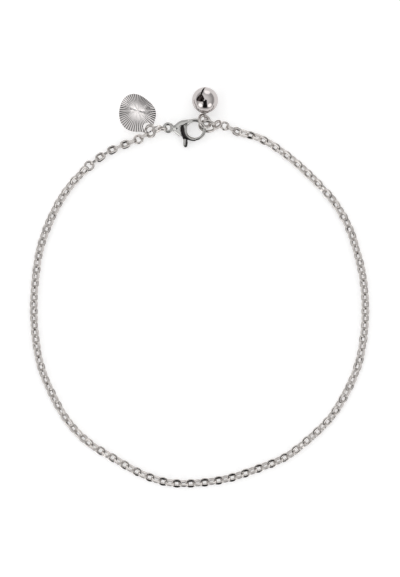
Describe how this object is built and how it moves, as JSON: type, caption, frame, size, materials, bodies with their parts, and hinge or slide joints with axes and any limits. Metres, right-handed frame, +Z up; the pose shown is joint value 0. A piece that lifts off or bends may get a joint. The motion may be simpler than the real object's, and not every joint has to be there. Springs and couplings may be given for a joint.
{
  "type": "payal anklet",
  "caption": "Fine cable-chain ankle bracelet closed by a lobster clasp, with a pierced sunray disc charm and a round jingle bell beside the clasp.",
  "frame": {"origin": "middle of the laid-out loop's box, on the surface that it lies on", "axes": "+Z up from the surface, +Y from the middle of the loop towards the clasp, +X towards the bell's end of the clasp"},
  "size_m": [0.078, 0.0918, 0.0061],
  "materials": {
    "chain_steel": "polished stainless steel wire",
    "clasp_steel": "mirror polished cast steel",
    "charm_steel": "polished, pressed with fine rays",
    "bell_steel": "mirror polished sheet"
  },
  "bodies": {
    "anklet": {"clasp_body": "clasp_steel", "clasp_link": "chain_steel", "charm_side_link": "chain_steel", "charm_ring": "chain_steel", "chain_side_link": "chain_steel", "spacer_ring": "chain_steel", "chain_link_01": "chain_steel", "chain_link_02": "chain_steel", "chain_link_03": "chain_steel", "chain_link_04": "chain_steel", "chain_link_05": "chain_steel", "chain_link_06": "chain_steel", "chain_link_07": "chain_steel", "sizing_ring": "chain_steel", "fine_chain": "chain_steel", "tail_link_2": "chain_steel", "tail_link_1": "chain_steel", "tail_ring": "chain_steel", "end_link": "chain_steel", "end_ring": "chain_steel", "bell_ring": "chain_steel", "bell": "bell_steel", "bell_pellet": "bell_steel", "sun_charm": "charm_steel"},
    "lever": {"clasp_lever": "clasp_steel"}
  },
  "joints": [
    {"name": "lever_pivot", "type": "hinge", "parent": "anklet", "child": "lever", "pos_m": [-0.00346, 0.03769, 0.0012], "axis": [0, 0, -1], "range_deg": [0, 20], "stiffness_Nm_per_rad": 0.005, "springref_deg": -20.05}
  ]
}
